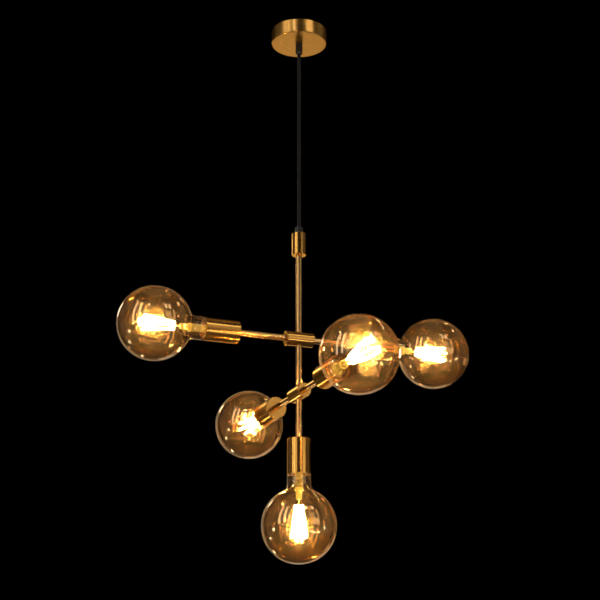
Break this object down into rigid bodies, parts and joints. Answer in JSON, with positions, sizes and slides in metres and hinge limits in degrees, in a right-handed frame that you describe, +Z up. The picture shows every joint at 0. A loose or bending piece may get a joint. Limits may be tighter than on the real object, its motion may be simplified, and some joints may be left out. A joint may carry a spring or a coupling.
{
  "type": "sputnik chandelier",
  "caption": "Hanging lamp with a ceiling canopy, a cord, a stem with crossed arms at different heights, cylinder sockets and large globe bulbs.",
  "frame": {"origin": "centre of the two ceiling screw slots, on the ceiling plane, which is also the axis of the stem", "axes": "+Z up into the ceiling along the stem; +X along the upper arm towards the right bulb; +Y along the lower arm towards the back bulb (the front bulb is at -Y)"},
  "size_m": [0.637, 0.637, 0.9718],
  "materials": {
    "satin_brass": "satin, fine brushing",
    "contact_brass": "bare drawn brass",
    "brass_screw": "machined",
    "zinc_steel": "zinc plated",
    "black_screw": "blackened",
    "terminal_plastic": "moulded",
    "black_plastic": "satin moulded",
    "black_thermoset": "matt moulded",
    "cord_textile": "woven sleeve",
    "core_insulation": "smooth",
    "cap_metal": "drawn, lightly tarnished",
    "amber_glass": "clear, tinted",
    "mount_glass": "clear",
    "filament": "coated sticks, lit"
  },
  "bodies": {
    "canopy": {"canopy_cup": "satin_brass", "crossbar": "zinc_steel", "crossbar_nipple": "zinc_steel", "nipple_nuts": "zinc_steel", "earth_screw": "brass_screw", "terminal_block": "terminal_plastic", "supply_leads": "core_insulation", "cord_tail_top": "cord_textile", "cord_grip_top": "black_plastic", "set_screw_top": "black_screw"},
    "cord": {"cord": "cord_textile"},
    "lower_grip": {"cord_grip_bottom": "black_plastic", "set_screw_bottom": "black_screw", "cord_tail_bottom": "cord_textile"},
    "upper_arms": {"coupler": "satin_brass", "stem_upper": "satin_brass", "hub_upper": "satin_brass", "stem_middle": "satin_brass", "arm_left": "satin_brass", "arm_right": "satin_brass", "socket_cup_left": "satin_brass", "socket_cup_right": "satin_brass", "lamp_holder_left": "black_thermoset", "lamp_holder_right": "black_thermoset", "holder_contacts_upper": "contact_brass", "holder_nuts_upper": "zinc_steel", "upper_wires": "core_insulation"},
    "lower_arms": {"hub_lower": "satin_brass", "stem_lower": "satin_brass", "arm_front": "satin_brass", "arm_back": "satin_brass", "socket_cup_front": "satin_brass", "socket_cup_back": "satin_brass", "socket_cup_bottom": "satin_brass", "lamp_holder_front": "black_thermoset", "lamp_holder_back": "black_thermoset", "lamp_holder_bottom": "black_thermoset", "holder_contacts_lower": "contact_brass", "holder_nuts_lower": "zinc_steel", "lower_wires": "core_insulation"},
    "bulb_left": {"bulb_glass_left": "amber_glass", "bulb_cap_left": "cap_metal", "bulb_mount_left": "mount_glass", "bulb_filaments_left": "filament"},
    "bulb_right": {"bulb_glass_right": "amber_glass", "bulb_cap_right": "cap_metal", "bulb_mount_right": "mount_glass", "bulb_filaments_right": "filament"},
    "bulb_front": {"bulb_glass_front": "amber_glass", "bulb_cap_front": "cap_metal", "bulb_mount_front": "mount_glass", "bulb_filaments_front": "filament"},
    "bulb_back": {"bulb_glass_back": "amber_glass", "bulb_cap_back": "cap_metal", "bulb_mount_back": "mount_glass", "bulb_filaments_back": "filament"},
    "bulb_bottom": {"bulb_glass_bottom": "amber_glass", "bulb_cap_bottom": "cap_metal", "bulb_mount_bottom": "mount_glass", "bulb_filaments_bottom": "filament"}
  },
  "joints": [
    {"name": "cord_swing", "type": "hinge", "parent": "canopy", "child": "cord", "pos_m": [0, 0, -0.045], "axis": [0, 1, 0], "range_deg": [-15, 15]},
    {"name": "fixture_tilt", "type": "hinge", "parent": "cord", "child": "lower_grip", "pos_m": [0, 0, -0.385], "axis": [1, 0, 0], "range_deg": [-15, 15]},
    {"name": "fixture_twist", "type": "hinge", "parent": "lower_grip", "child": "upper_arms", "pos_m": [0, 0, -0.39715], "axis": [0, 0, 1], "range_deg": [-170, 170]},
    {"name": "lower_arms_turn", "type": "hinge", "parent": "upper_arms", "child": "lower_arms", "pos_m": [0, 0, -0.6848], "axis": [0, 0, 1], "range_deg": [-70, 70]},
    {"name": "bulb_left_unscrew", "type": "slide", "parent": "upper_arms", "child": "bulb_left", "axis": [-1, 0, 0], "range_m": [0, 0.035]},
    {"name": "bulb_right_unscrew", "type": "slide", "parent": "upper_arms", "child": "bulb_right", "axis": [1, 0, 0], "range_m": [0, 0.035]},
    {"name": "bulb_front_unscrew", "type": "slide", "parent": "lower_arms", "child": "bulb_front", "axis": [0, -1, 0], "range_m": [0, 0.035]},
    {"name": "bulb_back_unscrew", "type": "slide", "parent": "lower_arms", "child": "bulb_back", "axis": [0, 1, 0], "range_m": [0, 0.035]},
    {"name": "bulb_bottom_unscrew", "type": "slide", "parent": "lower_arms", "child": "bulb_bottom", "axis": [0, 0, -1], "range_m": [0, 0.035]}
  ]
}
